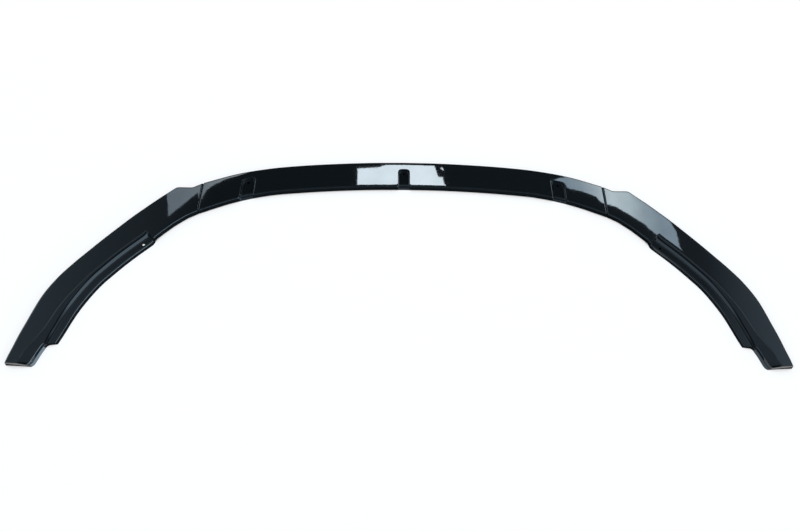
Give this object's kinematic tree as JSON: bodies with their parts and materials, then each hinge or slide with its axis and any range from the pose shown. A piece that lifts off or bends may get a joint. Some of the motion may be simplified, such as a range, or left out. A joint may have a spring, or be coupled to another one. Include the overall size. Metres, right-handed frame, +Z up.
{
  "type": "front splitter lip",
  "caption": "Shallow gloss-black lip that follows a car's front bumper: a centre blade with screw pockets, and swept wings with a stepped flange.",
  "frame": {"origin": "on the floor plane under the middle of the part's overall length and width", "axes": "+X to the side of the car, +Y to its front, +Z up"},
  "size_m": [1.7, 0.5339, 0.015],
  "materials": {
    "gloss_black": "gloss",
    "zinc_steel": "satin"
  },
  "bodies": {
    "root": {"centre_blade": "gloss_black", "left_wing": "gloss_black", "right_wing": "gloss_black", "left_front_screw": "zinc_steel", "left_rear_screw": "zinc_steel", "right_front_screw": "zinc_steel", "right_rear_screw": "zinc_steel"}
  },
  "joints": []
}
